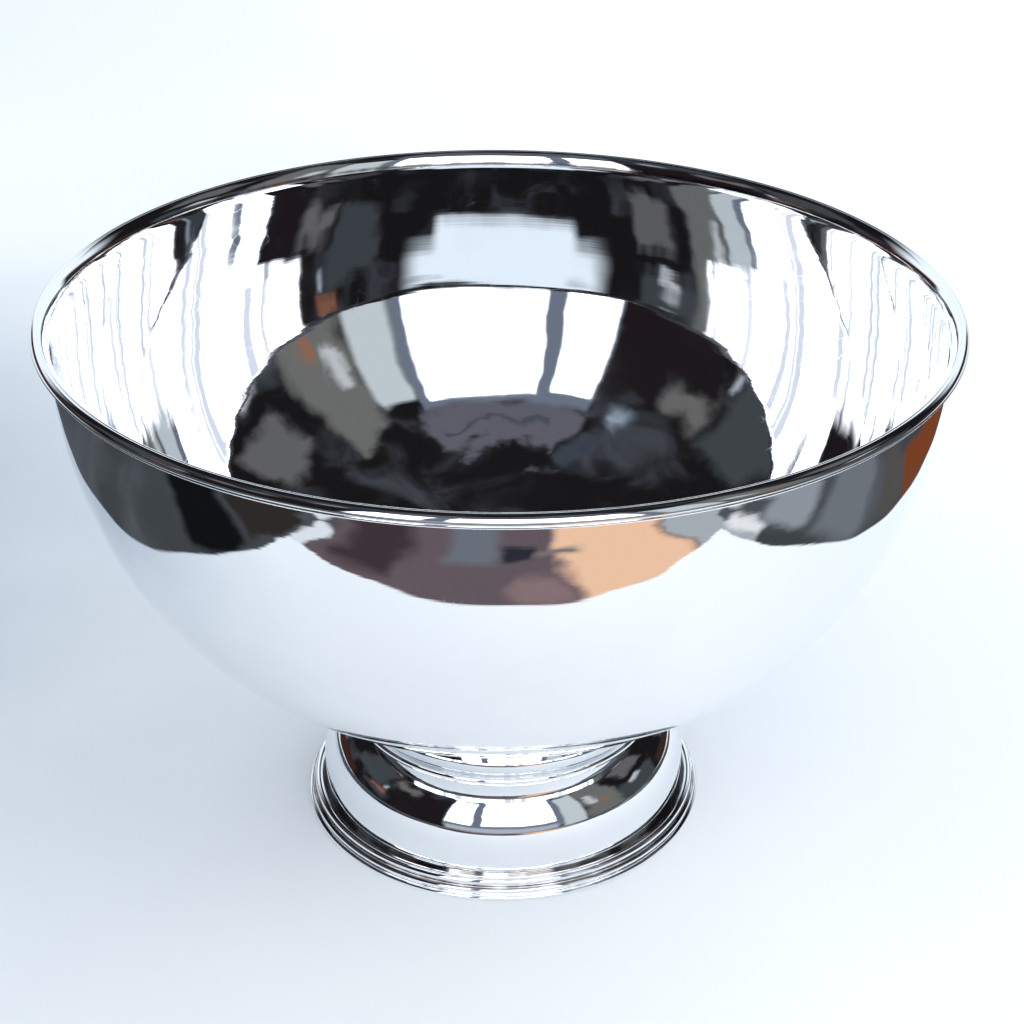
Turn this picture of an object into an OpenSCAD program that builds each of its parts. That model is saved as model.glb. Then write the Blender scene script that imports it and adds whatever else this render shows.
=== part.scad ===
// Footed punch bowl, spun from sheet metal, with drawn-wire borders and a bolted-on foot.
// Millimetres. +Z is up, the table is z = 0 and the bowl's axis is the Z axis.

/* [Bowl] */
// Width across the outside of the rim
rim_d = 450; // [430:5:470]
// Height from the table to the top of the rim
total_h = 289; // [279:1:303]
// Height of the bowl's lowest outside point above the table
bowl_floor_z = 80.5; // [79:0.5:83]
// How far the bowl's wall stands in from the outside of the rim
wall_inset = 7.2; // [6.6:0.2:8]
// Fullness of the bowl's curve towards its floor: 2 is a plain ellipse, more is flatter
floor_fullness = 2.6; // [2.4:0.05:2.8]
// Fullness of the bowl's curve towards its wall: 2 is a plain ellipse, more is straighter
wall_fullness = 2.12; // [2:0.02:2.3]
// Thickness of the bowl's sheet metal
bowl_t = 1.5; // [1.2:0.1:1.6]

/* [Rim] */
// Height of the flared lip at the top of the bowl's wall
lip_h = 8.5; // [8:0.5:10]
// Length of the oval section of the border around the rim
border_long = 5.2; // [5:0.1:5.4]
// Thickness of the border's oval section
border_short = 2.6; // [2.4:0.1:2.8]
// Angle by which the border's face slopes down towards the outside
border_slope = 50; // [46:1:54]
// Diameter of the thin reed below it
rim_reed_d = 2; // [1.8:0.1:2.2]

/* [Foot] */
// Width across the foot's base ring
foot_d = 215; // [209:1:221]
// How far the dome's wall stands in from the outside of the base ring
dome_inset = 9.5; // [9:0.1:10]
// Thickness of the foot's sheet metal
foot_t = 1.2; // [1:0.1:1.4]
// Height of the base ring
ring_h = 3; // [2.8:0.1:3.2]
// Diameter of the upper reed above the base ring
upper_reed_d = 5; // [4.8:0.1:5.2]
// Diameter of the lower reed above the base ring
lower_reed_d = 4; // [3.8:0.1:4.2]

/* [Neck] */
// Radius at which the neck stands on the dome
joint_r = 78.4; // [77:0.2:80]
// Radius of the neck where it meets the bowl
neck_r = 66; // [64:0.5:68]
// Diameter of the bead that covers the seam between neck and dome
neck_bead_d = 4.6; // [4.2:0.2:5]

/* [Fixing] */
// Diameter of the stud that holds the foot to the bowl
stud_d = 8; // [6:1:8]
// Width of the nut across its flats
nut_af = 13; // [12:0.5:14]
// Radius of the disc that spreads the stud's pull on the bowl
stud_plate_r = 22; // [20:0.5:23]
// Radius of the pressed plate that pulls the neck upwards
spreader_r = 40; // [38:1:44]

/* [Hidden] */
$fn = 96;
overlap = 1;
silver = [0.90, 0.92, 0.95];
silver_shade = [0.80, 0.83, 0.88];
brass = [0.80, 0.66, 0.36];

// Bowl: the wall is a superellipse up to flare_z, then an arc that flares out to the lip
rim_r = rim_d / 2;
wall_r = rim_r - wall_inset;
lip_inset = 3.6;
lip_r = rim_r - lip_inset - bowl_t / 2;
border_proud = 0.25;
lip_z = total_h - border_proud - bowl_t / 2;
flare_z = lip_z - lip_h;
flare_mid_r = wall_r - bowl_t / 2;
bowl_depth = flare_z - bowl_floor_z;
flare_run = lip_r - flare_mid_r;
flare_r = (pow(flare_run, 2) + pow(lip_h, 2)) / (2 * flare_run);
flare_turn = asin(lip_h / flare_r);
wall_steps = 48;
flare_steps = 8;
edge_steps = 8;

// Rim border: half_r and half_z are how far the sloping oval reaches from its middle
border_half_r = norm([border_long * cos(border_slope), border_short * sin(border_slope)]) / 2;
border_half_z = norm([border_long * sin(border_slope), border_short * cos(border_slope)]) / 2;
border_mid_r = rim_r - border_half_r;
border_mid_z = total_h - border_half_z;
border_steps = 36;
border_split_drop = 3.6;
border_split_z = total_h - border_split_drop;
rim_reed_inset = 2.6;
rim_reed_r = rim_r - rim_reed_inset;
rim_reed_drop = 5.8;
rim_reed_z = total_h - rim_reed_drop;
groove_drop = 0.9;
groove_z = total_h - groove_drop;

// Foot: an upright wall up to dome_z, then a quarter of an ellipse that the neck cuts off
foot_r = foot_d / 2;
dome_r = foot_r - dome_inset;
dome_z = 25;
dome_a = 41;
dome_b = 36;
dome_mid_r = dome_r - dome_a;
dome_turn = acos(1 - (dome_r - joint_r) / dome_a);
joint_z = dome_z + dome_b * sin(dome_turn);
dome_hole_r = 70;
dome_steps = 24;
ring_lap = 2;
ring_inner_r = dome_r - foot_t - ring_lap;
ring_edge = ring_h / 2;
upper_reed_out = 3.5;
upper_reed_r = dome_r + upper_reed_out;
upper_reed_z = 8.4;
upper_solder_z = 10;
lower_reed_out = 6;
lower_reed_r = dome_r + lower_reed_out;
lower_reed_z = 4.7;
reed_split_z = 6.2;

// Neck: a cove, a quarter of an ellipse that is hollow towards the outside
cove_base_z = joint_z + foot_t;
cove_top_z = bowl_under_z(neck_r);
cove_w = joint_r - neck_r;
cove_h = cove_top_z - cove_base_z;
cove_steps = 18;
neck_seat = 5;
neck_hole_r = 26;
neck_bead_out = 1.1;
neck_bead_r = joint_r + neck_bead_out;
neck_bead_drop = 0.4;
neck_bead_z = joint_z - neck_bead_drop;

// Fixing, from the bowl downwards
stud_plate_t = 2.5;
plate_t = 2.5;
dish_gap = 0.6;
dish_top_z = bowl_floor_z - stud_plate_t - dish_gap;
dish_clear = 2;
dish_r = stud_plate_r + dish_clear;
dish_bend = 1;
washer_h = 2.2;
washer_w = 3.2;
washer_split = 1;
nut_h = 6.5;
hole_gap = 0.3;
washer_top_z = dish_top_z - plate_t;
nut_top_z = washer_top_z - washer_h;
stud_past_nut = 4;
stud_end_z = nut_top_z - nut_h - stud_past_nut;
stud_chamfer = 1;

// A point on the bowl's superellipse that stands in by t from its outside; turn 0 is the wall
function bowl_point(turn, t) = [
    (wall_r - t) * pow(cos(turn), 2 / floor_fullness),
    flare_z - (bowl_depth - t) * pow(sin(turn), 2 / wall_fullness)];
// Height of the bowl's outside at radius r
function bowl_under_z(r) =
    flare_z - bowl_depth * pow(1 - pow(r / wall_r, floor_fullness), 1 / wall_fullness);
// Points down the wall from just below the flare to the axis
function bowl_wall(t) = concat(
    [for (i = [0 : wall_steps - 1]) bowl_point(90 * i / wall_steps, t)],
    [[0, bowl_floor_z + t]]);
// Points up the flared lip; side is -1 for its outside and 1 for its inside
function lip_side(side) = [for (i = [1 : flare_steps])
    let (turn = flare_turn * i / flare_steps, r = flare_r + side * bowl_t / 2)
    [flare_mid_r + flare_r - r * cos(turn), flare_z + r * sin(turn)]];
// Points round the lip's rounded edge, from its inside to its outside
function lip_edge() = [for (i = [1 : edge_steps - 1])
    let (turn = 180 * (1 - i / edge_steps) - flare_turn)
    [lip_r + bowl_t / 2 * cos(turn), lip_z + bowl_t / 2 * sin(turn)]];
function reversed(list) = [for (i = [len(list) - 1 : -1 : 0]) list[i]];
// Points round the dome's curve, t in from its outside, from the wall up to height top_z
function dome_curve(t, top_z) =
    let (turn = asin((top_z - dome_z) / (dome_b - t)))
    [for (i = [0 : dome_steps])
        [dome_mid_r + (dome_a - t) * cos(turn * i / dome_steps),
         dome_z + (dome_b - t) * sin(turn * i / dome_steps)]];
// Points up the cove, t in from its outside
function cove_curve(t) = [for (i = [0 : cove_steps])
    let (turn = 90 * i / cove_steps)
    [joint_r - (cove_w + t) * sin(turn), cove_top_z - (cove_h + t) * cos(turn)]];
// Points out along the underside of the neck's top web, which lies against the bowl
function web_under() = [for (i = [0 : cove_steps])
    let (r = neck_hole_r + (neck_r - neck_hole_r) * i / cove_steps)
    [r, bowl_under_z(r) - foot_t]];

// Everything inside the bowl's outside surface, for cutting what is soldered against it
module bowl_fill() {
    polygon(concat(
        reversed(lip_side(-1)), bowl_wall(0), [[0, total_h], [flare_mid_r, total_h]], lip_edge()));
}
// Everything inside the dome's outside surface
module dome_fill() {
    polygon(concat([[0, 0], [dome_r, 0]], dome_curve(0, joint_z), [[0, joint_z]]));
}
module box_section(r1, z1, r2, z2) {
    translate([r1, z1]) square([r2 - r1, z2 - z1]);
}

module bowl_shell() {
    color(silver) rotate_extrude() polygon(concat(
        reversed(lip_side(-1)), bowl_wall(0), reversed(bowl_wall(bowl_t)), lip_side(1), lip_edge()));
}

module rim_wire_section() {
    difference() {
        union() {
            translate([border_mid_r, border_mid_z]) rotate(-border_slope) polygon(
                [for (i = [0 : border_steps - 1]) let (turn = 360 * i / border_steps)
                    [border_long / 2 * cos(turn), border_short / 2 * sin(turn)]]);
            box_section(wall_r - overlap, border_split_z, border_mid_r, groove_z);
        }
        bowl_fill();
    }
}

module rim_wire() {
    color(silver) rotate_extrude() rim_wire_section();
}

module rim_reed() {
    color(silver_shade) rotate_extrude() difference() {
        union() {
            translate([rim_reed_r, rim_reed_z]) circle(d = rim_reed_d);
            box_section(wall_r - overlap, rim_reed_z - rim_reed_d / 2, rim_reed_r, border_split_z);
        }
        bowl_fill();
        rim_wire_section();
    }
}

module neck_collar() {
    color(silver) rotate_extrude() difference() {
        union() {
            polygon(concat(
                cove_curve(0),
                [[neck_r, cove_top_z + overlap], [neck_r - foot_t, cove_top_z + overlap]],
                reversed(cove_curve(foot_t))));
            box_section(joint_r - neck_seat, joint_z, joint_r, cove_base_z);
            polygon(concat(
                web_under(), [[neck_r, cove_top_z + overlap], [neck_hole_r, cove_top_z]]));
        }
        bowl_fill();
    }
}

module neck_bead() {
    color(silver) rotate_extrude() difference() {
        translate([neck_bead_r, neck_bead_z]) circle(d = neck_bead_d);
        dome_fill();
        box_section(0, 0, joint_r, cove_top_z);
    }
}

module foot_dome() {
    color(silver) rotate_extrude() polygon(concat(
        [[dome_r - foot_t, ring_h], [dome_r, ring_h]], dome_curve(0, joint_z),
        [[dome_hole_r, joint_z], [dome_hole_r, joint_z - foot_t]],
        reversed(dome_curve(foot_t, joint_z - foot_t))));
}

module upper_reed_section() {
    difference() {
        union() {
            translate([upper_reed_r, upper_reed_z]) circle(d = upper_reed_d);
            box_section(dome_r - foot_t, reed_split_z, upper_reed_r, upper_solder_z);
        }
        dome_fill();
    }
}

module foot_upper_reed() {
    color(silver) rotate_extrude() upper_reed_section();
}

module foot_lower_reed() {
    color(silver_shade) rotate_extrude() difference() {
        union() {
            translate([lower_reed_r, lower_reed_z]) circle(d = lower_reed_d);
            box_section(dome_r - foot_t, ring_h, lower_reed_r, reed_split_z);
        }
        dome_fill();
        upper_reed_section();
        box_section(0, 0, foot_r, ring_h);
    }
}

module base_ring() {
    color(silver) rotate_extrude() {
        box_section(ring_inner_r, 0, foot_r - ring_edge, ring_h);
        translate([foot_r - ring_edge, ring_edge]) circle(r = ring_edge);
    }
}

module stud_plate() {
    color(brass) rotate_extrude() difference() {
        box_section(stud_d / 2, bowl_floor_z - stud_plate_t, stud_plate_r, bowl_floor_z + overlap);
        bowl_fill();
    }
}

module fixing_stud() {
    color(brass) {
        translate([0, 0, stud_end_z + stud_chamfer])
            cylinder(d = stud_d, h = bowl_floor_z - stud_end_z - stud_chamfer);
        translate([0, 0, stud_end_z])
            cylinder(d1 = stud_d - 2 * stud_chamfer, d2 = stud_d, h = stud_chamfer);
    }
}

// A plate pressed into a shallow dish: its rim bears on the neck, its middle clears the stud plate
module spreader_plate() {
    rim_under_z = bowl_under_z(neck_hole_r) - foot_t - plate_t;
    color(brass) rotate_extrude() difference() {
        polygon([
            [stud_d / 2 + hole_gap, dish_top_z - plate_t], [dish_r + dish_bend, dish_top_z - plate_t],
            [neck_hole_r + 2 * dish_bend, rim_under_z], [spreader_r, rim_under_z],
            [spreader_r, bowl_under_z(spreader_r)], [neck_hole_r, bowl_under_z(neck_hole_r)],
            [dish_r, dish_top_z], [stud_d / 2 + hole_gap, dish_top_z]]);
        polygon(concat(web_under(), [[neck_r, cove_top_z], [neck_hole_r, cove_top_z]]));
    }
}

module spring_washer() {
    color("dimgray") difference() {
        translate([0, 0, nut_top_z]) difference() {
            cylinder(r = stud_d / 2 + hole_gap + washer_w, h = washer_h);
            translate([0, 0, -overlap]) cylinder(r = stud_d / 2 + hole_gap, h = washer_h + 2 * overlap);
        }
        translate([0, -washer_split / 2, nut_top_z - overlap])
            cube([nut_af, washer_split, washer_h + 2 * overlap]);
    }
}

module fixing_nut() {
    across_corners = nut_af / cos(30);
    color(brass) translate([0, 0, nut_top_z - nut_h]) difference() {
        intersection() {
            cylinder(d = across_corners, h = nut_h, $fn = 6);
            cylinder(d1 = nut_af, d2 = nut_af + 2 * nut_h, h = nut_h);
        }
        translate([0, 0, -overlap]) cylinder(d = stud_d, h = nut_h + 2 * overlap);
    }
}

bowl_shell();
rim_wire();
rim_reed();
neck_collar();
neck_bead();
foot_dome();
foot_upper_reed();
foot_lower_reed();
base_ring();
stud_plate();
fixing_stud();
spreader_plate();
spring_washer();
fixing_nut();
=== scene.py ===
# %% [markdown]
# # A spun silver punch bowl
# This lesson dresses a finished design of a footed punch bowl. The design gives the true sizes
# and is loaded first as a fixed frame. Nothing here moves it: every piece is made around it.
# All lengths are in metres, the table is z = 0 and the bowl's axis is the Z axis.

# %% Load the design
import math

import bpy
import numpy as np
from mathutils import Matrix, Vector, noise


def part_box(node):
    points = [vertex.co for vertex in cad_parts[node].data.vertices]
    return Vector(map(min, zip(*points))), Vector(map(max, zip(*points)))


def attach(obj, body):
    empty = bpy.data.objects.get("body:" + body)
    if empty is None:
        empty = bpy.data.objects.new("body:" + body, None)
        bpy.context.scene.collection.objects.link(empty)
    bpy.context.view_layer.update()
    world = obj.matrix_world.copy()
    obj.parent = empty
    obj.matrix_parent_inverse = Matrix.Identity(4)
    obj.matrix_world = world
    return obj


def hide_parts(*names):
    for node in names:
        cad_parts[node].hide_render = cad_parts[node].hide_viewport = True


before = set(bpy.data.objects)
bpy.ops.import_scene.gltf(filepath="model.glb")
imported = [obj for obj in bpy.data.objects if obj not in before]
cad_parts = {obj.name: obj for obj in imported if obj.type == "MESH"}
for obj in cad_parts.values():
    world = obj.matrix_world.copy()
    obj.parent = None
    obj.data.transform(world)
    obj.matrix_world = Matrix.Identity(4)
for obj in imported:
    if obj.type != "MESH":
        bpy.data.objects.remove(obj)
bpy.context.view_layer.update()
MM = 0.001
print("pieces in the design:", sorted(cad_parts))

# %% [markdown]
# ## Sizes
# Radii and heights come from the boxes of the design's own pieces. Only what a box can't tell,
# such as the thickness of the sheet metal, is written here as a number.

# %% Read the sizes
bowl_low, bowl_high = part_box("bowl_shell")
wire_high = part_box("rim_wire")[1]
neck_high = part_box("neck_collar")[1]
dome_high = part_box("foot_dome")[1]
ring_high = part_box("base_ring")[1]

RIM_R, RIM_TOP = wire_high[0], wire_high[2]
BOWL_FLOOR = bowl_low[2]
BOWL_T, FOOT_T = 1.5 * MM, 1.2 * MM
WALL_INSET, LIP_H = 7.2 * MM, 8.5 * MM
WALL_R = RIM_R - WALL_INSET
LIP_R = bowl_high[0] - BOWL_T / 2
LIP_Z = bowl_high[2] - BOWL_T / 2
FLARE_Z = LIP_Z - LIP_H
DOME_R, JOINT_Z = dome_high[0], dome_high[2]
JOINT_R, NECK_R = neck_high[0], 66 * MM
RING_R, RING_H = ring_high[0], ring_high[2]
print(f"rim radius {RIM_R:.4f}, rim height {RIM_TOP:.4f}, underside of the bowl {BOWL_FLOOR:.4f}")
print(f"foot radius {RING_R:.4f}, neck stands on the dome at {JOINT_R:.4f}, height {JOINT_Z:.4f}")

# %% [markdown]
# ## Outlines
# A spinner presses a turning disc of metal over a wooden chuck, so every visible piece is a body
# of revolution. An outline of (radius, height) pairs describes it. Round stretches are arcs of
# circles or ellipses. The `evenly` helper spreads the points out at equal distances, because the
# mesh needs even rows to carry the small dents that come later.


# %% Helpers for outlines
SAME_POINT = 1e-7


def arc(mid_r, mid_z, radius_r, radius_z, start, end, steps):
    """Points on an ellipse's arc, with start and end in degrees."""
    turns = np.radians(np.linspace(start, end, steps + 1))
    return np.column_stack([mid_r + radius_r * np.cos(turns), mid_z + radius_z * np.sin(turns)])


def evenly(points, step):
    """The same line again, with its points at equal distances."""
    lengths = np.r_[0, np.cumsum(np.hypot(*np.diff(points, axis=0).T))]
    wanted = np.linspace(0, lengths[-1], max(2, round(lengths[-1] / step)) + 1)
    return np.column_stack([np.interp(wanted, lengths, points[:, k]) for k in (0, 1)])


def joined(*lines):
    """Lines one after another, without the double points where they meet."""
    points = np.vstack(lines)
    apart = np.hypot(*np.diff(points, axis=0).T) > SAME_POINT
    return points[np.r_[True, apart]]


quarter = evenly(arc(0, 0, 10 * MM, 10 * MM, 0, 90, 60), 1 * MM)
print(f"a quarter circle of 10 mm, in steps of about 1 mm, has {len(quarter)} points")

# %% [markdown]
# ## Dents and ripples
# No spun bowl is perfect. The roller leaves shallow rings, and planishing and years of polishing
# leave broad, soft dents. Each is under half a millimetre, but a mirror shows a slope of half a
# degree at once, so they are made in the mesh and not only painted on. Every point moves along a
# line from the middle of the bowl's mouth. The inside and the outside then move together, and the
# sheet keeps its thickness.

# %% Dents
BROAD_DENT, BROAD_SIZE = 0.40 * MM, 78 * MM
SMALL_DENT, SMALL_SIZE = 0.055 * MM, 26 * MM
RING_DENT, RING_PITCH = 0.010 * MM, 12 * MM
RING_WANDER = 3.0
OTHER_PLACE = Vector((3.1, 7.7, 1.9))


def fade(value, low, high):
    """0 below low, 1 above high and smooth between."""
    t = min(max((value - low) / (high - low), 0.0), 1.0)
    return t * t * (3 - 2 * t)


def dented(point, middle, strength):
    """The point again, moved towards or away from the middle by the dents."""
    ray = point - middle
    away = ray.normalized()
    broad = noise.noise(point / BROAD_SIZE + OTHER_PLACE)
    small = noise.noise(point / SMALL_SIZE)
    tilt = math.atan2(-away.z, math.hypot(away.x, away.y))
    phase = 2 * math.pi * tilt * WALL_R / RING_PITCH
    rings = math.sin(phase + RING_WANDER * noise.noise(point / BROAD_SIZE))
    return point + away * strength * (BROAD_DENT * broad + SMALL_DENT * small + RING_DENT * rings)


print(f"no dent is deeper than {(BROAD_DENT + SMALL_DENT + RING_DENT) / MM:.2f} mm")

# %% [markdown]
# ## Where the dents may be
# The bowl is stiff at its rim, where the wire is soldered, and round its foot, so the dents grow
# from nothing at the rim and stay weak over the foot. The foot itself is stiff and gets weak ones.
# Each limit below is a pair of distances: weakest at the first, at full strength from the second.

# %% Dents of the bowl and of the foot
BELOW_RIM, OFF_FOOT = (2 * MM, 24 * MM), (60 * MM, 100 * MM)
OVER_FOOT_SHARE = 0.25
ABOVE_TABLE, BELOW_JOINT = (12 * MM, 22 * MM), (0, 8 * MM)
FOOT_SHARE = 0.4


def bowl_dents(point):
    """Dents for the bowl, none at the rim and few where the foot holds it."""
    off_foot = fade(math.hypot(point.x, point.y), *OFF_FOOT)
    free = OVER_FOOT_SHARE + (1 - OVER_FOOT_SHARE) * off_foot
    return dented(point, Vector((0, 0, FLARE_Z)), fade(FLARE_Z - point.z, *BELOW_RIM) * free)


def foot_dents(point):
    """Weaker dents for the foot, which is stiffer."""
    strength = FOOT_SHARE * fade(point.z, *ABOVE_TABLE) * fade(JOINT_Z - point.z, *BELOW_JOINT)
    return dented(point, Vector((0, 0, 0)), strength)


belly = Vector((WALL_R * 0.8, 0, FLARE_Z - 100 * MM))
print(f"a point on the bowl's belly moves by {(bowl_dents(belly) - belly).length / MM:.2f} mm")

# %% [markdown]
# ## From outline to mesh
# Blender's Screw modifier could turn the outline too. Making the mesh directly gives the choice of
# how many points go round, closes the poles with triangles, and lets the dents act on each point.


# %% Turn an outline
SHARP_ANGLE = math.radians(35)


def turned(name, outline, turns=288, closed=True, dents=None):
    """Copies an outline round the Z axis and makes a mesh object of it."""
    angles = np.arange(turns) * 2 * math.pi / turns
    verts, rows = [], []
    for radius, height in outline:
        at_pole = radius < SAME_POINT
        around = [0.0] if at_pole else angles
        rows.append([len(verts)] * turns if at_pole else list(range(len(verts), len(verts) + turns)))
        verts += [Vector((radius * math.cos(a), radius * math.sin(a), height)) for a in around]
    if dents:
        verts = [dents(point) for point in verts]
    faces = []
    for low, high in zip(rows, rows[1:] + ([rows[0]] if closed else [])):
        for k in range(turns):
            after = (k + 1) % turns
            corners = (low[k], low[after], high[after], high[k])
            faces.append(list(dict.fromkeys(corners)))
    mesh = bpy.data.meshes.new(name)
    mesh.from_pydata(verts, [], faces)
    mesh.shade_smooth()
    mesh.set_sharp_from_angle(angle=SHARP_ANGLE)
    piece = bpy.data.objects.new(name, mesh)
    bpy.context.scene.collection.objects.link(piece)
    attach(piece, "root")
    print(f"{name}: {len(verts)} points, {len(faces)} faces")
    return piece


# %% [markdown]
# ## The bowl's wall
# The wall follows a superellipse: like an ellipse, but with two fullness numbers, one for the
# floor and one for the wall. A freehand curve could be drawn instead, but then the neck, which
# touches the bowl from below, wouldn't know its height. Here `under_z` gives it at any radius.

# %% The bowl's wall
WALL_STEP = 2.6 * MM
FLOOR_FULLNESS, WALL_FULLNESS = 2.6, 2.12


def under_z(radius):
    """Height of the bowl's outside at a radius."""
    depth = (1 - (radius / WALL_R) ** FLOOR_FULLNESS) ** (1 / WALL_FULLNESS)
    return FLARE_Z - (FLARE_Z - BOWL_FLOOR) * depth


def wall_curve(inset, steps=400):
    """The bowl's wall from the axis up to the flare, inset from its outside."""
    turns = np.radians(np.linspace(90, 0, steps))
    return np.column_stack([
        (WALL_R - inset) * np.cos(turns).clip(0) ** (2 / FLOOR_FULLNESS),
        FLARE_Z - (FLARE_Z - BOWL_FLOOR - inset) * np.sin(turns) ** (2 / WALL_FULLNESS)])


outside, inside = evenly(wall_curve(0), WALL_STEP), evenly(wall_curve(BOWL_T), WALL_STEP)
print(f"the wall is {(FLARE_Z - BOWL_FLOOR) / MM:.1f} mm deep, with {len(outside)} points on its outside")

# %% [markdown]
# ## The bowl
# Above the wall an arc flares out to the lip, whose edge is rounded. The arc starts upright, so its
# radius follows from how far it runs out and how high it rises. The outline goes from the pole
# under the bowl, up the outside, over the lip and down the inside to the pole again.

# %% Bowl
flare_mid = WALL_R - BOWL_T / 2
flare_run = LIP_R - flare_mid
flare_r = (flare_run ** 2 + LIP_H ** 2) / (2 * flare_run)
flare_turn = math.degrees(math.asin(LIP_H / flare_r))
lip_mid = flare_mid + flare_r
out_r, in_r = flare_r - BOWL_T / 2, flare_r + BOWL_T / 2
bowl = turned("bowl", joined(
    outside,
    arc(lip_mid, FLARE_Z, out_r, out_r, 180, 180 - flare_turn, 8),
    arc(LIP_R, LIP_Z, BOWL_T / 2, BOWL_T / 2, -flare_turn, 180 - flare_turn, 8),
    arc(lip_mid, FLARE_Z, in_r, in_r, 180 - flare_turn, 180, 8),
    inside[::-1]), turns=360, closed=False, dents=bowl_dents)
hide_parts("bowl_shell")

# %% [markdown]
# ## The rim's border
# A half-oval wire is soldered round the lip, with its broad face sloping down and out, and a thin
# reed sits below it. Solder fills the seam behind them. The border is an ellipse that is turned by
# its slope, and the reed is half a circle with a flat back. A slow, weak wave along each keeps
# them from looking machined: they were bent and soldered by hand.

# %% Rim border
BORDER_LONG, BORDER_SHORT, BORDER_SLOPE = 5.2 * MM, 2.6 * MM, 50
REED_D, REED_INSET, REED_DROP = 2 * MM, 2.6 * MM, 5.8 * MM
SPLIT_DROP, SOLDER_DEPTH, SOLDER_LAP = 3.6 * MM, 1.2 * MM, 0.3 * MM
RIM_BEND, FOOT_BEND, BENDS_PER_METRE = 0.0005, 0.0008, 14
slope_cos, slope_sin = math.cos(math.radians(BORDER_SLOPE)), math.sin(math.radians(BORDER_SLOPE))
border_mid = np.array([
    RIM_R - math.hypot(BORDER_LONG * slope_cos, BORDER_SHORT * slope_sin) / 2,
    RIM_TOP - math.hypot(BORDER_LONG * slope_sin, BORDER_SHORT * slope_cos) / 2])


def bent_by_hand(amount):
    """A function that moves a wire's points in and out by a slow wave."""
    def bend(point):
        return point * (1 - amount * (0.5 + 0.5 * noise.noise(point * BENDS_PER_METRE)))
    return bend


oval = arc(0, 0, BORDER_LONG / 2, BORDER_SHORT / 2, 0, 360, 48)[:-1]
oval = oval @ np.array([[slope_cos, -slope_sin], [slope_sin, slope_cos]]) + border_mid
wire = turned("rim_bead", oval, turns=360, dents=bent_by_hand(RIM_BEND))
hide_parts("rim_wire")

# %% [markdown]
# ## The reed under the border
# The reed's front is round. Behind it the outline follows the solder: level under the border wire,
# into the flare, and down along the wall to the reed's lower edge.

# %% Rim reed
reed_r, reed_z, split_z = RIM_R - REED_INSET, RIM_TOP - REED_DROP, RIM_TOP - SPLIT_DROP
solder_top = [[reed_r, split_z], [LIP_R - SOLDER_DEPTH, split_z]]
solder_foot = [[WALL_R - SOLDER_LAP, reed_z - REED_D / 2]]
reed = turned("rim_lower_reed", joined(
    arc(reed_r, reed_z, REED_D / 2, REED_D / 2, -90, 90, 18),
    np.array(solder_top + solder_foot)), turns=360, dents=bent_by_hand(RIM_BEND))
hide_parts("rim_reed")

# %% [markdown]
# ## The foot's dome
# The foot is a second, smaller spinning: a short upright wall that rolls over into a dome. The
# dome is part of an ellipse, cut off where the neck stands on it, with a hole in the middle.

# %% Foot dome
DOME_Z, DOME_A, DOME_B = 25 * MM, 41 * MM, 36 * MM
DOME_HOLE_R = 70 * MM


def dome_curve(inset, top_z):
    """The dome's curve from its wall up to a height, inset from its outside."""
    turn = math.degrees(math.asin((top_z - DOME_Z) / (DOME_B - inset)))
    return arc(DOME_R - DOME_A, DOME_Z, DOME_A - inset, DOME_B - inset, 0, turn, 36)


dome = turned("dome", joined(
    evenly(np.array([[DOME_R, RING_H], [DOME_R, DOME_Z]]), WALL_STEP),
    dome_curve(0, JOINT_Z),
    np.array([[DOME_HOLE_R, JOINT_Z], [DOME_HOLE_R, JOINT_Z - FOOT_T]]),
    dome_curve(FOOT_T, JOINT_Z - FOOT_T)[::-1],
    np.array([[DOME_R - FOOT_T, RING_H]])), turns=240, dents=foot_dents)
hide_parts("foot_dome")

# %% [markdown]
# ## The neck and its bead
# A hollow curve, the neck, stands on the dome and carries the bowl. It is a quarter of an ellipse
# from the dome to the bowl, and its top closes in under the bowl along the bowl's own curve. A
# bead of round wire hides the seam on the dome.

# %% Neck and its bead
NECK_HOLE_R, NECK_SEAT = 26 * MM, 5 * MM
cove_base, cove_top = JOINT_Z + FOOT_T, under_z(NECK_R)
cove_w, cove_h = JOINT_R - NECK_R, cove_top - cove_base
web_r = np.linspace(NECK_R, NECK_HOLE_R, 18)
web_top = np.column_stack([web_r, under_z(web_r)])
web_under = web_top[:0:-1] - [0, FOOT_T]
neck = turned("neck", joined(
    np.array([[JOINT_R, JOINT_Z]]),
    arc(JOINT_R, cove_top, cove_w, cove_h, 270, 180, 28),
    web_top, web_under,
    arc(JOINT_R, cove_top, cove_w + FOOT_T, cove_h + FOOT_T, 180, 260, 28),
    np.array([[JOINT_R - NECK_SEAT, JOINT_Z]])), turns=200)
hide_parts("neck_collar")

BEAD_D, BEAD_OUT, BEAD_DROP = 4.6 * MM, 1.1 * MM, 0.4 * MM
bead = turned("neck_bead_wire", arc(
    JOINT_R + BEAD_OUT, JOINT_Z - BEAD_DROP, BEAD_D / 2, BEAD_D / 2, -100, 130, 26),
    turns=240, dents=bent_by_hand(FOOT_BEND))
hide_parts("neck_bead")

# %% [markdown]
# ## The foot's edge
# The edge that stands on the table has to be stiff. Two reeds of round wire run round the outside
# of the dome's wall, the thick one over the thin one, and a flat ring with a round edge stands on
# the table. Both reeds have the same kind of outline, so one function makes them.

# %% Reeds and standing ring
UPPER_REED = dict(wire_d=5 * MM, mid_r=DOME_R + 3.5 * MM, mid_z=8.4 * MM, back=(10 * MM, 6.2 * MM))
LOWER_REED = dict(wire_d=4 * MM, mid_r=DOME_R + 6 * MM, mid_z=4.7 * MM, back=(6.2 * MM, RING_H))
BACK_R = DOME_R - 0.5 * MM
RING_LAP = 2 * MM


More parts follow.
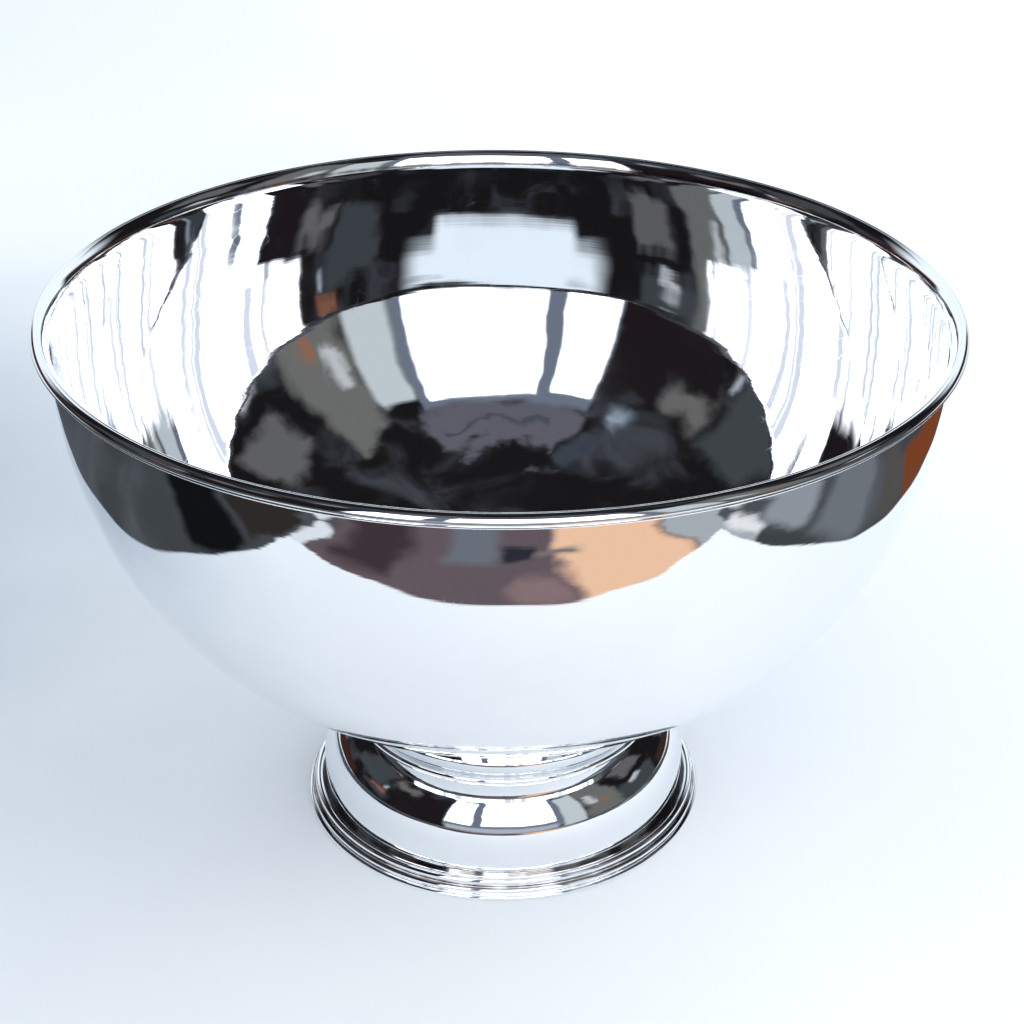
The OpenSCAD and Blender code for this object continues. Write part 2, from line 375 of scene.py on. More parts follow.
def foot_reed(name, node, wire_d, mid_r, mid_z, back):
    """A reed round the foot: a round front with a flat back sunk in the dome's wall."""
    made = turned(name, joined(
        arc(mid_r, mid_z, wire_d / 2, wire_d / 2, -80, 140, 28),
        np.array([[BACK_R, z] for z in back])), turns=288, dents=bent_by_hand(FOOT_BEND))
    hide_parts(node)
    return made


upper = foot_reed("upper_reed", "foot_upper_reed", **UPPER_REED)
lower = foot_reed("lower_reed", "foot_lower_reed", **LOWER_REED)
ring_in = DOME_R - FOOT_T - RING_LAP
ring = turned("standing_ring", joined(
    arc(RING_R - RING_H / 2, RING_H / 2, RING_H / 2, RING_H / 2, -90, 90, 14),
    np.array([[ring_in, RING_H], [ring_in, 0]])), turns=288)
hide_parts("base_ring")

# %% [markdown]
# ## Building materials with code
# A material is a small graph of nodes. `put` adds one node and fills its sockets: a socket is
# given either a plain value or another node's output, which is then linked. The other helpers are
# short names for the nodes that come up again and again.


# %% Helpers for nodes
def put(tree, kind, sockets=None, **settings):
    """Adds a shader node and fills its sockets with values or links."""
    made = tree.nodes.new("ShaderNode" + kind)
    for name, value in settings.items():
        setattr(made, name, value)
    for name, value in (sockets or {}).items():
        if isinstance(value, bpy.types.NodeSocket):
            tree.links.new(value, made.inputs[name])
        else:
            made.inputs[name].default_value = value
    return made


def maths(tree, operation, first, second=0.0, third=0.0):
    """One Math node's output."""
    return put(tree, "Math", {0: first, 1: second, 2: third}, operation=operation).outputs[0]


def mixed(tree, mask, below, above):
    """A colour that goes from below to above with the mask."""
    return put(tree, "Mix", {0: mask, 6: below, 7: above}, data_type="RGBA").outputs[2]


def ranged(tree, value, low, high, to_low=0.0, to_high=1.0):
    """A smooth step of the value from low to high."""
    made = put(tree, "MapRange", {
        "Value": value, "From Min": low, "From Max": high, "To Min": to_low, "To Max": to_high},
        interpolation_type="SMOOTHSTEP")
    return made.outputs["Result"]


# %% [markdown]
# ## Node groups
# An effect that several materials share is built once, as a node group with named inputs and one
# output, and placed in each material with its own values. `group` starts one. It gives back the
# inputs, and a function that says what the output is. An input without a number is a place.


# %% Helpers for node groups
def group(name, inputs, output):
    """Starts a node group and returns it with its inputs and a function that sets its output."""
    tree = bpy.data.node_groups.new(name, "ShaderNodeTree")
    for label, value in inputs.items():
        kind = "NodeSocketVector" if value is None else "NodeSocketFloat"
        socket = tree.interface.new_socket(label, in_out="INPUT", socket_type=kind)
        if value is not None:
            socket.default_value = value
    tree.interface.new_socket(output, in_out="OUTPUT", socket_type="NodeSocketFloat")
    start, end = tree.nodes.new("NodeGroupInput"), tree.nodes.new("NodeGroupOutput")
    print(f"{name}: {', '.join(inputs)} -> {output}")
    return tree, start.outputs, lambda value: tree.links.new(value, end.inputs[output])


def place(tree, effect, sockets):
    """Puts a node group into a tree and returns its output."""
    return put(tree, "Group", sockets, node_tree=effect).outputs[0]


# %% [markdown]
# ## Turning marks
# The roller and the polishing mop leave fine rings round the axis. The group looks up a noise at
# (distance from the axis, height), so it only changes across the rings. A second, coarse noise is
# added to the lookup, which lets the rings drift and break up as real ones do.

# %% Group: turning marks
turning_marks, given, give = group(
    "turning_marks", {"Place": None, "Lines per Metre": 900.0, "Wander": 0.002}, "Height")
x, y, z = put(turning_marks, "SeparateXYZ", {0: given["Place"]}).outputs
flat = put(turning_marks, "CombineXYZ", {0: x, 1: y})
from_axis = put(turning_marks, "VectorMath", {0: flat.outputs[0]}, operation="LENGTH").outputs["Value"]
drift = put(turning_marks, "TexNoise", {"Vector": given["Place"], "Scale": 9.0, "Detail": 2.0})
shift = maths(turning_marks, "MULTIPLY", drift.outputs["Fac"], given["Wander"])
across = put(turning_marks, "CombineXYZ", {
    0: maths(turning_marks, "ADD", from_axis, shift),
    1: maths(turning_marks, "ADD", z, shift)})
scaled = put(turning_marks, "VectorMath", {0: across.outputs[0], "Scale": given["Lines per Metre"]},
             operation="SCALE")
rings = put(turning_marks, "TexNoise", {"Vector": scaled.outputs[0], "Scale": 1.0, "Detail": 3.0},
            noise_dimensions="2D")
give(rings.outputs["Fac"])

# %% [markdown]
# ## Polishing haze
# Hand polishing never clears a large bowl evenly. Cloudy patches stay where the cloth didn't
# reach, and they blur the reflection a little. A coarse noise, cut off below a level, gives the
# patches, and a fine one multiplied with it gives them holes.

# %% Group: polishing haze
polishing_haze, given, give = group(
    "polishing_haze", {"Place": None, "Patches per Metre": 9.0, "Clear Below": 0.35}, "Mask")
patches = put(polishing_haze, "TexNoise", {
    "Vector": given["Place"], "Scale": given["Patches per Metre"], "Detail": 4.0, "Distortion": 0.6})
wiped = put(polishing_haze, "TexNoise", {"Vector": given["Place"], "Scale": 75.0, "Detail": 5.0})
full_above = maths(polishing_haze, "ADD", given["Clear Below"], 0.4)
clouds = ranged(polishing_haze, patches.outputs["Fac"], given["Clear Below"], full_above)
give(maths(polishing_haze, "MULTIPLY", clouds, wiped.outputs["Fac"]))

# %% [markdown]
# ## Hairline scratches
# A polishing cloth and a ladle leave hairlines. A stretched noise has long thin contour lines, and
# keeping only the places close to one value of it gives thin curved lines.

# %% Group: hairlines
hairlines, given, give = group(
    "hairlines", {"Place": None, "Lines per Metre": 40.0, "Width": 0.01}, "Mask")
stretched = put(hairlines, "Mapping", {
    "Vector": given["Place"], "Rotation": (0.5, 0.9, 0.7), "Scale": (1.0, 0.12, 1.0)})
contours = put(hairlines, "TexNoise", {
    "Vector": stretched.outputs[0], "Scale": given["Lines per Metre"], "Detail": 1.0})
off_line = maths(hairlines, "ABSOLUTE", maths(hairlines, "SUBTRACT", contours.outputs["Fac"], 0.5))
line = maths(hairlines, "SUBTRACT", 1.0, ranged(hairlines, off_line, 0.0, given["Width"]))
some = put(hairlines, "TexNoise", {"Vector": given["Place"], "Scale": 23.0, "Detail": 1.0})
give(maths(hairlines, "MULTIPLY", line, ranged(hairlines, some.outputs["Fac"], 0.45, 0.65)))

# %% [markdown]
# ## Painted shade and tarnish in the grooves
# Painted shade darkens the grooves beside the wires, where a cloth can't reach and polish and
# tarnish collect. The group gives a mask round one height, broken up by a noise so that it isn't a ruled
# line.

# %% Group: groove shade and tarnish
groove_shade_and_tarnish, given, give = group(
    "groove_shade_and_tarnish", {"Place": None, "Groove Height": 0.28, "Groove Width": 0.001}, "Mask")
height = put(groove_shade_and_tarnish, "SeparateXYZ", {0: given["Place"]}).outputs[2]
off = maths(groove_shade_and_tarnish, "ABSOLUTE", maths(groove_shade_and_tarnish, "SUBTRACT", height, given["Groove Height"]))
near = maths(groove_shade_and_tarnish, "SUBTRACT", 1.0, ranged(groove_shade_and_tarnish, off, 0.0, given["Groove Width"]))
broken = put(groove_shade_and_tarnish, "TexNoise", {"Vector": given["Place"], "Scale": 60.0, "Detail": 3.0})
give(maths(groove_shade_and_tarnish, "MULTIPLY", near, ranged(groove_shade_and_tarnish, broken.outputs["Fac"], 0.25, 0.6)))

# %% [markdown]
# ## Silver
# Polished silver is a metal with a nearly white, slightly cool colour and a very low roughness.
# Haze greys the colour a little, haze and hairlines raise the roughness in places, painted shade
# and tarnish darken one groove, and the turning marks go into a very shallow bump. The bowl, the
# foot, the rim's wires and the foot's reeds share this recipe, each with its own amounts.


# %% Silver materials
def new_material(name):
    """A new material's tree, its Principled shader and the place on the object."""
    material = bpy.data.materials.new(name)
    material.use_nodes = True
    shader = material.node_tree.nodes["Principled BSDF"]
    spot = put(material.node_tree, "TexCoord").outputs["Object"]
    return material, material.node_tree, shader, spot


CLEAN_SILVER = (0.875, 0.888, 0.905, 1)
VEILED_SILVER = (0.80, 0.815, 0.835, 1)
# painted shade and tarnish: the colour laid into one groove
SHADE_AND_TARNISH = (0.16, 0.125, 0.10, 1)
HAIRLINE_SHARE, MARK_ROUGHNESS = 0.7, 0.03
RELIEF = 0.1 * MM


def silver(name, lines, bump, clearest, hazed, groove_z, groove_w):
    """Polished silver with turning marks, haze, hairlines and painted shade and tarnish in one groove."""
    material, tree, shader, spot = new_material(name)
    marks = place(tree, turning_marks, {"Place": spot, "Lines per Metre": lines, "Wander": 0.004})
    haze = place(tree, polishing_haze, {"Place": spot, "Patches per Metre": 8.0, "Clear Below": 0.42})
    hair = place(tree, hairlines, {"Place": spot, "Lines per Metre": 55.0, "Width": 0.006})
    shaded_groove = place(tree, groove_shade_and_tarnish, {
        "Place": spot, "Groove Height": groove_z, "Groove Width": groove_w})
    veiled = mixed(tree, haze, CLEAN_SILVER, VEILED_SILVER)
    # the groove mask paints shade and tarnish into the base colour
    tree.links.new(mixed(tree, shaded_groove, veiled, SHADE_AND_TARNISH), shader.inputs["Base Color"])
    scratched = maths(tree, "MULTIPLY", hair, HAIRLINE_SHARE)
    worn = maths(tree, "MAXIMUM", maths(tree, "MAXIMUM", haze, scratched), shaded_groove)
    rough = maths(tree, "MULTIPLY_ADD", worn, hazed, clearest)
    rough = maths(tree, "MULTIPLY_ADD", marks, MARK_ROUGHNESS, rough)
    tree.links.new(rough, shader.inputs["Roughness"])
    shader.inputs["Metallic"].default_value = 1.0
    relief = put(tree, "Bump", {"Strength": bump, "Distance": RELIEF, "Height": marks})
    tree.links.new(relief.outputs[0], shader.inputs["Normal"])
    print(f"{name}: roughness from {clearest} to {clearest + hazed + MARK_ROUGHNESS:.2f}")
    return material


bowl_silver = silver(
    "bowl_silver", lines=420, bump=0.05, clearest=0.004, hazed=0.10,
    groove_z=RIM_TOP - 6 * MM, groove_w=1.4 * MM)
foot_silver = silver(
    "foot_silver", lines=500, bump=0.05, clearest=0.01, hazed=0.11,
    groove_z=10.5 * MM, groove_w=1.6 * MM)
wire_silver = silver(
    "wire_silver", lines=700, bump=0.04, clearest=0.01, hazed=0.08,
    groove_z=RIM_TOP - 4.6 * MM, groove_w=0.5 * MM)
reed_silver = silver(
    "reed_silver", lines=700, bump=0.05, clearest=0.02, hazed=0.10,
    groove_z=6.4 * MM, groove_w=0.6 * MM)

# %% [markdown]
# ## Brass and spring steel
# The foot is held by a stud, a pressed plate and a nut of brass, and a spring washer of steel.
# They are hidden inside the foot and never polished, so the brass has gone brown in patches and is
# bright only where a spanner rubs it, and the steel keeps its grey scale.


# %% Brass and steel materials
LEAST_ROUGH, TOOL_RELIEF = 0.22, 0.15 * MM


def fixing_metal(name, bright, dull, lines, roughest):
    """Unpolished metal: dull patches over bright ones, with strong turning marks."""
    material, tree, shader, spot = new_material(name)
    marks = place(tree, turning_marks, {"Place": spot, "Lines per Metre": lines, "Wander": 0.0005})
    dulled = place(tree, polishing_haze, {"Place": spot, "Patches per Metre": 60.0, "Clear Below": 0.3})
    hair = place(tree, hairlines, {"Place": spot, "Lines per Metre": 160.0, "Width": 0.02})
    rubbed = maths(tree, "SUBTRACT", dulled, hair)
    tree.links.new(mixed(tree, rubbed, bright, dull), shader.inputs["Base Color"])
    rough = maths(tree, "MULTIPLY_ADD", dulled, roughest, LEAST_ROUGH)
    tree.links.new(rough, shader.inputs["Roughness"])
    shader.inputs["Metallic"].default_value = 1.0
    relief = put(tree, "Bump", {"Strength": 0.35, "Distance": TOOL_RELIEF, "Height": marks})
    tree.links.new(relief.outputs[0], shader.inputs["Normal"])
    print(f"{name}: roughness from {LEAST_ROUGH} to {LEAST_ROUGH + roughest:.2f}")
    return material


turned_brass = fixing_metal(
    "turned_brass", bright=(0.80, 0.60, 0.28, 1), dull=(0.34, 0.22, 0.09, 1), lines=1600, roughest=0.5)
spring_steel = fixing_metal(
    "spring_steel", bright=(0.42, 0.43, 0.45, 1), dull=(0.09, 0.09, 0.10, 1), lines=2200, roughest=0.6)

# %% [markdown]
# ## Dressing the pieces
# One table says which pieces take which finish. The five fixing pieces are the design's own
# meshes, whose shapes are right as they are. Only the materials in their slots change.

# %% Dress every piece
BRASS_PIECES = ("stud_plate", "fixing_stud", "spreader_plate", "fixing_nut")
finishes = {
    bowl_silver: [bowl],
    foot_silver: [dome, neck],
    wire_silver: [wire, reed, bead],
    reed_silver: [upper, lower, ring],
    turned_brass: [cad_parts[name] for name in BRASS_PIECES],
    spring_steel: [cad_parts["spring_washer"]],
}
for material, pieces in finishes.items():
    for piece in pieces:
        piece.data.materials.clear()
        piece.data.materials.append(material)
    print(material.name, "on", [piece.name for piece in pieces])

# %% [markdown]
# ## What a mirror needs
# Polished silver has no look of its own: it shows the room. A plain pale floor and a plain pale
# sky would make it look like plaster. The floor and the sky are therefore plain and pale for the
# eye, while a mirror ray sees a white cloth, darker and warmer things beyond it, a bright window
# and a dark ceiling. The Light Path node tells the two kinds of ray apart. One group draws all of
# these: a rectangle with soft edges in any two coordinates, U and V.

# %% Group: soft rectangle
soft_patch, given, give = group("soft_patch", {
    "U": 0.0, "V": 0.0, "Middle U": 0.0, "Middle V": 0.0,
    "Half U": 1.0, "Half V": 1.0, "Edge": 0.1}, "Mask")
sides = []
for axis in "UV":
    off = maths(soft_patch, "SUBTRACT", given[axis], given["Middle " + axis])
    away = maths(soft_patch, "ABSOLUTE", off)
    inside_by = maths(soft_patch, "SUBTRACT", given["Half " + axis], away)
    sides.append(ranged(soft_patch, inside_by, 0.0, given["Edge"]))
give(maths(soft_patch, "MULTIPLY", *sides))

# %% [markdown]
# ## Painting with patches
# A list of patches is laid over a ground colour, one after another, and each Mix node carries its
# patch's name as a label. Ruled edges would give the trick away, so `bent_place` moves the
# coordinates a little with a noise before any patch is looked up.


# %% Helpers for patches
def painted(tree, ground, patches, u, v):
    """Lays patches over a colour: (name, colour, lowest u, highest u, lowest v, highest v, edge)."""
    colour = ground
    for name, paint, u_low, u_high, v_low, v_high, edge in patches:
        mask = place(tree, soft_patch, {
            "U": u, "V": v, "Middle U": (u_low + u_high) / 2, "Half U": (u_high - u_low) / 2,
            "Middle V": (v_low + v_high) / 2, "Half V": (v_high - v_low) / 2, "Edge": edge})
        colour = mixed(tree, mask, colour, (*paint, 1))
        colour.node.label = name
    print(f"{len(patches)} patches, from the {patches[0][0]} to the {patches[-1][0]}")
    return colour


def bent_place(tree, spot, scale, detail, amount):
    """The place moved a little by a noise, so that straight edges turn wavy."""
    wave = put(tree, "TexNoise", {"Vector": spot, "Scale": scale, "Detail": detail}).outputs["Color"]
    centred = put(tree, "VectorMath", {0: wave, 1: (0.5, 0.5, 0.5)}, operation="SUBTRACT")
    moved = put(tree, "VectorMath", {0: centred.outputs[0], 1: amount, 2: spot}, operation="MULTIPLY_ADD")
    return put(tree, "SeparateXYZ", {0: moved.outputs[0]}).outputs


# %% [markdown]
# ## The floor
# It reaches 14 m each way, so that a low view shows its end only as a faint horizon far away.

# %% Floor
FLOOR_HALF = 14.0
corners = [(x * FLOOR_HALF, y * FLOOR_HALF, 0) for x, y in ((-1, -1), (1, -1), (1, 1), (-1, 1))]
floor_mesh = bpy.data.meshes.new("floor")
floor_mesh.from_pydata(corners, [], [(0, 1, 2, 3)])
floor = bpy.data.objects.new("floor", floor_mesh)
bpy.context.scene.collection.objects.link(floor)
print(f"floor: {2 * FLOOR_HALF:.0f} m wide")

# %% [markdown]
# ## The floor for the eye
# A pale ground whose tone changes slowly, and a painted shade: a darker area to the left of the bowl,
# where less daylight falls. The silver shows both in its lower half, so they shade its belly softly too.

# %% Floor for the eye
# PALE and PALEST are the floor's own tones; the third colour is a painted shade
PALE, PALEST, PAINTED_SHADE = (0.88, 0.92, 0.97, 1), (0.95, 0.97, 0.99, 1), (0.35, 0.42, 0.51, 1)
floor_material, tree, shader, spot = new_material("pale_floor")
floor_mesh.materials.append(floor_material)
shader.inputs["Roughness"].default_value = 0.9
shader.inputs["Specular IOR Level"].default_value = 0.0
room_x, room_y, _ = bent_place(tree, spot, 7.0, 4.0, (0.12, 0.08, 0.0))
slow = put(tree, "TexNoise", {"Vector": spot, "Scale": 1.1, "Detail": 2.0})
lightest = mixed(tree, ranged(tree, slow.outputs["Fac"], 0.35, 0.7), PALE, PALEST)
# painted shade: the floor's colour turns darker to the left of the bowl
painted_shade_patch = place(tree, soft_patch, {
    "U": room_x, "Middle U": -0.85, "Half U": 0.85,
    "V": room_y, "Middle V": 0.25, "Half V": 0.65, "Edge": 0.6})
to_the_eye = mixed(tree, painted_shade_patch, lightest, PAINTED_SHADE)
print("floor for the eye:", len(tree.nodes), "nodes")

# %% [markdown]
# ## A painted reflection beyond the cloth
# Mirror rays that land off the cloth see a room's ground painted on the floor as a glowing
# reflection: a brown bench and warm wood in front, grey and red-brown strips on the right, dark
# cases on the left and pale ground far behind.
# The patches lie over each other in this order, so a later one covers an earlier one. All sizes
# are in metres from the bowl's axis, with the front at the negative side.

# %% Painted reflection beyond the cloth
FAR_GROUND, FAR_STREAK = (0.055, 0.062, 0.070, 1), (0.095, 0.105, 0.12, 1)
streaks = put(tree, "TexNoise", {"Vector": spot, "Scale": 3.0, "Detail": 3.0, "Distortion": 1.2})
streak = ranged(tree, streaks.outputs["Fac"], 0.35, 0.7)
painted_reflection = painted(tree, mixed(tree, streak, FAR_GROUND, FAR_STREAK), [
    ("pale ground in front", (0.40, 0.43, 0.47), -1.00, 1.60, -FLOOR_HALF, -1.10, 0.10),
    ("pale ground behind", (0.80, 0.87, 0.95), -4.00, 4.00, 0.55, FLOOR_HALF, 0.10),
    ("black case", (0.006, 0.007, 0.009), -0.75, -0.42, -0.32, -0.14, 0.03),
    ("dark case", (0.030, 0.026, 0.025), -0.60, -0.42, -0.52, -0.31, 0.03),
    ("brown bench", (0.140, 0.105, 0.125), -0.40, 0.40, -1.10, -0.36, 0.05),
    ("dark plank", (0.055, 0.036, 0.045), -0.36, -0.19, -0.80, -0.44, 0.05),
    ("blue-grey mat", (0.160, 0.180, 0.220), -0.15, 0.01, -0.80, -0.55, 0.05),
    ("dark gap", (0.026, 0.029, 0.040), -0.02, 0.09, -0.66, -0.57, 0.03),
    ("rosy plank", (0.270, 0.185, 0.190), 0.00, 0.12, -0.54, -0.42, 0.04),
    ("warm wood", (0.950, 0.610, 0.410), 0.10, 0.38, -0.90, -0.40, 0.04),
    ("shadow on the wood", (0.210, 0.180, 0.190), 0.06, 0.18, -0.63, -0.57, 0.03),
    ("cloth's left corner", (0.780, 0.840, 0.910), -0.43, -0.36, -0.56, -0.38, 0.02),
    ("grey edge", (0.420, 0.460, 0.500), 0.36, 0.50, -0.70, -0.32, 0.02),
    ("white edge", (0.850, 0.870, 0.900), 0.46, 0.53, -0.46, -0.32, 0.03),
    ("light grey strip", (0.300, 0.330, 0.370), 0.50, 1.20, -0.38, -0.20, 0.04),
    ("grey strip", (0.170, 0.190, 0.215), 0.44, 1.20, -0.20, 0.02, 0.05),
    ("dark strip", (0.090, 0.085, 0.080), 0.44, 1.20, 0.02, 0.14, 0.05),
    ("red-brown strip", (0.200, 0.055, 0.020), 0.44, 0.62, 0.12, 0.50, 0.04),
], room_x, room_y)

# %% [markdown]
# ## The white cloth
# The cloth lies under and behind the bowl. On it a mirror ray sees the same floor as the eye. Off
# it the floor turns black and glows in the ground's own colours, whose tones then stay as they
# were chosen, whatever light falls there. Both colours are mixed by one mask.

# %% White cloth
BLACK = (0.0, 0.0, 0.0, 1)
cloth_x, cloth_y, _ = bent_place(tree, spot, 4.0, 1.0, (0.05, 0.05, 0.0))
cloth = place(tree, soft_patch, {
    "U": cloth_x, "Middle U": 0.01, "Half U": 0.44,
    "V": cloth_y, "Middle V": 0.80, "Half V": 1.24, "Edge": 0.008})
seen_by_mirror = put(tree, "LightPath").outputs["Is Glossy Ray"]
off_cloth = maths(tree, "MULTIPLY", seen_by_mirror, maths(tree, "SUBTRACT", 1.0, cloth))
tree.links.new(mixed(tree, off_cloth, to_the_eye, BLACK), shader.inputs["Base Color"])
# painted reflection: off the cloth the floor glows in these patches, for mirror rays only
tree.links.new(mixed(tree, off_cloth, BLACK, painted_reflection), shader.inputs["Emission Color"])
shader.inputs["Emission Strength"].default_value = 1.0
print("finished floor:", len(tree.nodes), "nodes")

# %% [markdown]
# ## Directions in the sky
# The world has no size, only directions. Two angles name a direction, as on a globe: how far it
# turns from the front, and how high it rises. The direction is bent by a noise first, because a
# window seen in beaten metal has wavy edges.


# %% Helper for sky angles
def sky_angles(tree, toward, scale, detail, amount):
    """How far a direction turns from the front and how high it rises, in degrees."""
    x, y, z = bent_place(tree, toward, scale, detail, (amount, amount, amount))
    turn = maths(tree, "ARCTAN2", x, maths(tree, "MULTIPLY", y, -1.0))
    return maths(tree, "DEGREES", turn), maths(tree, "DEGREES", maths(tree, "ARCSINE", z))


# %% World
world = bpy.data.worlds.new("soft_studio")
bpy.context.scene.world = world
world.use_nodes = True
tree = world.node_tree
tree.nodes.clear()
toward = put(tree, "TexCoord").outputs["Generated"]
turn, rise = sky_angles(tree, toward, 6.0, 2.0, 0.04)
loose_turn, loose_rise = sky_angles(tree, toward, 5.0, 4.0, 0.22)
print("angles for walls and furniture:", len(tree.nodes), "nodes")

# %% [markdown]
# ## Ceiling and furniture
# The ceiling is nearly black, with a little smoke-like change, and that is what makes the bottom
# of the bowl dark. Furniture stands on both sides: a dark cupboard on the left, a grey locker and
# shelves on the right. It uses the strongly bent angles, or it would look like blocks.

# %% Ceiling and furniture
SLATE, DARK_WOOD = (0.055, 0.063, 0.072), (0.014, 0.010, 0.012)
CEILING, SMOKE = (0.010, 0.009, 0.010, 1), (0.060, 0.066, 0.080, 1)
smoke = put(tree, "TexNoise", {"Vector": toward, "Scale": 3.0, "Detail": 4.0, "Distortion": 0.8})
ceiling = mixed(tree, ranged(tree, smoke.outputs["Fac"], 0.45, 0.75), CEILING, SMOKE)
furnished = painted(tree, ceiling, [
    ("slate door", SLATE, -112, -80, 14, 44, 6),
    ("grey shelf", (0.150, 0.145, 0.145), -82, -58, 28, 43, 6),
    ("copper pan", (0.260, 0.110, 0.070), -92, -74, 8, 18, 5),
    ("dark cupboard", DARK_WOOD, -72, -34, -90, 29, 3),
    ("cupboard's narrow top", DARK_WOOD, -60, -34, -90, 42, 3),
    ("strip of daylight", (0.42, 0.46, 0.54), -83, -76, 16, 26, 4),
    ("blue lamp shade", (0.36, 0.44, 0.54), -57, -42, 45, 55, 6),
    ("blue-grey beam", (0.050, 0.060, 0.080), -60, -38, 57, 76, 6),
    ("slate counter", SLATE, 54, 108, -90, 22, 6),
    ("grey locker", (0.16, 0.165, 0.16), 48, 76, -90, 56, 6),
    ("pale sheet", (0.55, 0.58, 0.60), 53, 62, 18, 36, 4),
    ("copper pot", (0.30, 0.14, 0.09), 61, 69, 12, 26, 4),
    ("high shelf", (0.13, 0.13, 0.135), 80, 108, 24, 45, 6),
    ("pale box", (0.60, 0.64, 0.68), 84, 96, 13, 20, 4),
    ("ceiling panel", (0.125, 0.125, 0.155), -40, 42, 49, 73, 5),
    ("beam across the panel", (0.060, 0.070, 0.100), -26, 34, 58, 63, 3),
], loose_turn, loose_rise)

# %% [markdown]
# ## Walls and window
# Pale walls stand behind, with dark skirting. In front is the window, with a dark frame, a narrow
# pane and a wide one, and a pale door beside it. The panes are brighter than 1: only then do
# they stay pure white after the silver has taken its share.

# %% Walls and window
WINDOW, WALL = (3.4, 3.5, 3.7), (1.00, 1.10, 1.20)
FRAME, SILL = (0.16, 0.19, 0.25), (0.46, 0.50, 0.58)
room = painted(tree, furnished, [
    ("wall behind, left half", WALL, -300, -122, -90, 29, 14),
    ("wall behind, right half", WALL, 122, 300, -90, 29, 14),
    ("higher wall, left half", WALL, -300, -138, -90, 37, 7),
    ("higher wall, right half", WALL, 138, 300, -90, 37, 7),
    ("left skirting", (0.05, 0.020, 0.014), -150, -100, -90, 11, 5),
    ("right skirting", (0.04, 0.024, 0.020), 106, 150, -90, 12, 5),
    ("window frame", FRAME, -37, 36, 2, 52, 2),
    ("pale door", (0.58, 0.64, 0.68), 34, 51, -90, 47, 3),
    ("narrow pane", WINDOW, -36, -18, 10, 47, 2),
    ("wide pane", WINDOW, -14, 32, 10, 49, 2),
    ("sill", SILL, -36, 34, -90, 9, 4),
], turn, rise)

# %% [markdown]
# ## Rays that bounce inside the bowl
# Near the sides of the bowl a ray meets the silver twice or more before it leaves, and a real bowl
# is white there, with fine upright stripes, because every ripple in the metal adds to the last
# one's error. A modelled sheet is too smooth for that. So rays with a Glossy Depth of two or more
# see a white, striped patch low in front, in place of the window and the furniture.

# %% Striped patch for later bounces
STRIPES_PER_DEGREE, STRIPE = 0.11, (0.86, 0.92, 1.04, 1)
bounced = put(tree, "LightPath")
often = maths(tree, "GREATER_THAN", bounced.outputs["Glossy Depth"], 1.5)
bars = put(tree, "TexNoise", {
    "W": turn, "Scale": STRIPES_PER_DEGREE, "Detail": 2.0}, noise_dimensions="1D")
striped = mixed(tree, ranged(tree, bars.outputs["Fac"], 0.50, 0.60), (*WINDOW, 1), STRIPE)
low_side = place(tree, soft_patch, {
    "U": turn, "Middle U": 0.0, "Half U": 68.0,
    "V": rise, "Middle V": -30.0, "Half V": 58.0, "Edge": 4.0})
room = mixed(tree, maths(tree, "MULTIPLY", low_side, often), room, striped)
print("the sky with its room:", len(tree.nodes), "nodes")

# %% [markdown]
# ## One sky for the light, one for the mirror
# The light on the floor comes from a plain, slightly blue sky, so the floor stays plain. Mirror
# rays get the room. The switch is the Light Path node again, between two Background shaders.

# %% Two skies
PLAIN_SKY, PLAIN_STRENGTH = (0.88, 0.94, 1.0, 1), 0.90
room_light = put(tree, "Background", {"Color": room, "Strength": 1.0})
plain_light = put(tree, "Background", {"Color": PLAIN_SKY, "Strength": PLAIN_STRENGTH})
sky = put(tree, "MixShader", {
    0: bounced.outputs["Is Glossy Ray"], 1: plain_light.outputs[0], 2: room_light.outputs[0]})
put(tree, "OutputWorld", {"Surface": sky.outputs[0]})
print(f"plain sky at strength {PLAIN_STRENGTH}")

# %% [markdown]
# ## Lamps
# Two large round lamps, one in front and one behind, make the floor brighter round the bowl and
# its shadow soft. They are hidden from mirror rays, because the silver would show them as discs.

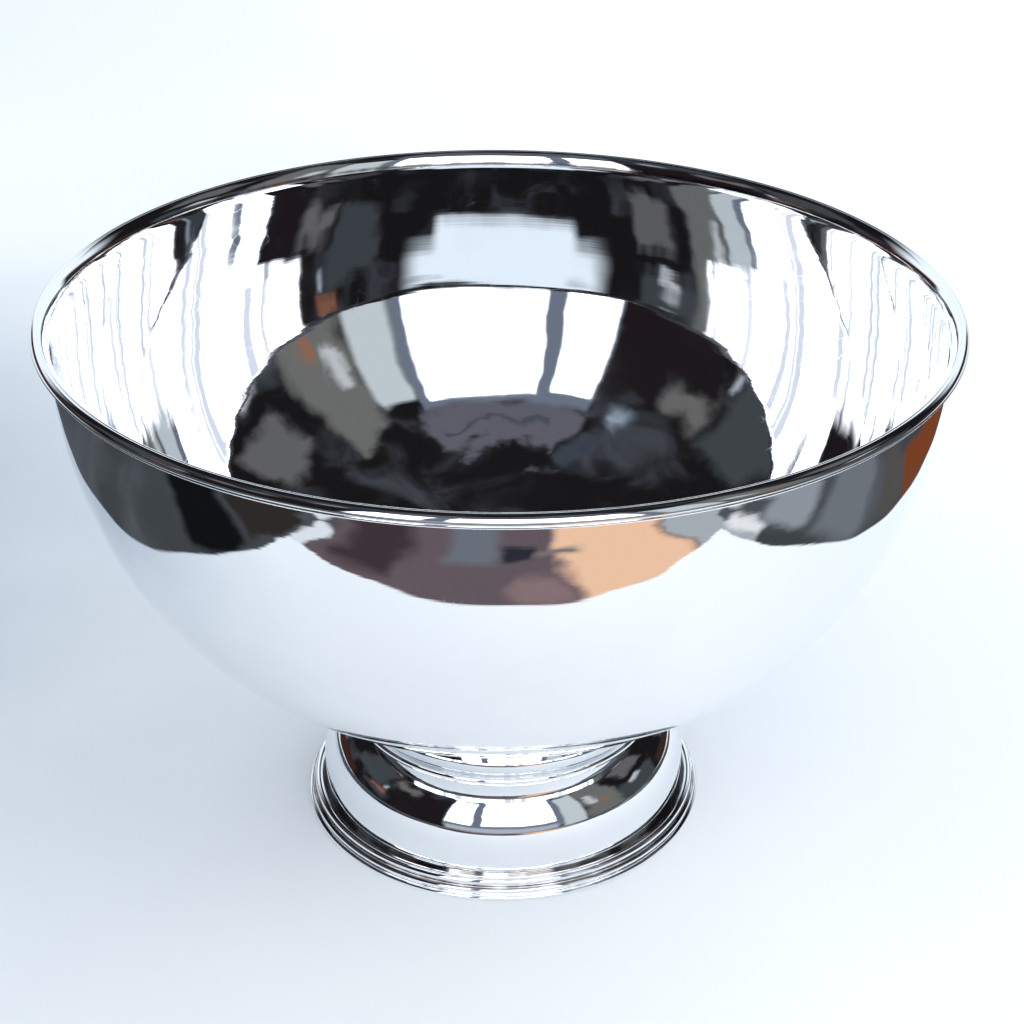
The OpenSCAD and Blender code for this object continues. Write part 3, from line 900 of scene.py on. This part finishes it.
# %% Lamps
LAMP_WIDTH, LAMP_COLOUR = 2.4, (1.0, 0.99, 0.97)
LAMPS = {"front_lamp": ((0.6, -1.5, 1.4), 15), "back_lamp": ((1.3, 1.7, 1.4), 20)}
for name, (lamp_place, power) in LAMPS.items():
    lamp = bpy.data.objects.new(name, bpy.data.lights.new(name, "AREA"))
    lamp.data.shape = "DISK"
    lamp.data.size = LAMP_WIDTH
    lamp.data.energy = power
    lamp.data.color = LAMP_COLOUR
    lamp.visible_glossy = False
    lamp.location = lamp_place
    lamp.rotation_euler = Vector(lamp_place).to_track_quat("Z", "Y").to_euler()
    bpy.context.scene.collection.objects.link(lamp)
    print(f"{name}: {power} W at {lamp_place}")

# %% [markdown]
# ## Camera
# The camera stands in front and looks down at about 29 degrees, turned and tipped by a few degrees
# as a hand-held camera is. A sideways lens shift keeps the bowl in place in the frame.

# %% Camera
LENS_LENGTH, SIDE_SHIFT = 69.6, -0.086
CAMERA_PLACE = Vector((0, -0.8996, 0.6606))
TURNED, LOOKING_DOWN, TIPPED = 3.15, 28.65, 1.58
camera = bpy.data.objects.new("camera", bpy.data.cameras.new("camera"))
bpy.context.scene.collection.objects.link(camera)
bpy.context.scene.camera = camera
camera.data.sensor_width = 36
camera.data.lens = LENS_LENGTH
camera.data.shift_x = SIDE_SHIFT
yaw, pitch, roll = (math.radians(a) for a in (TURNED, LOOKING_DOWN, TIPPED))
level_right = Vector((math.cos(yaw), -math.sin(yaw), 0))
level_up = Vector((math.sin(yaw) * math.sin(pitch), math.cos(yaw) * math.sin(pitch), math.cos(pitch)))
right = level_right * math.cos(roll) + level_up * math.sin(roll)
up = level_up * math.cos(roll) - level_right * math.sin(roll)
turned_to = Matrix((right, up, right.cross(up))).transposed().to_4x4()
camera.matrix_world = Matrix.Translation(CAMERA_PLACE) @ turned_to
print(f"the camera stands {CAMERA_PLACE.length:.2f} m away and looks down {LOOKING_DOWN} degrees")

# %% [markdown]
# ## Light that bounces inside the bowl
# Near the sides of a mirror bowl a ray bounces many times before it leaves. With too few bounces
# those parts turn black, so the limit for mirror rays is raised. The Standard view keeps the
# whites clean, as a bright product picture has them.

# %% Bounces and view
MOST_BOUNCES, MIRROR_BOUNCES = 24, 20
cycles = bpy.context.scene.cycles
cycles.max_bounces = MOST_BOUNCES
cycles.glossy_bounces = MIRROR_BOUNCES
bpy.context.scene.view_settings.view_transform = "Standard"
print(f"up to {MIRROR_BOUNCES} mirror bounces")
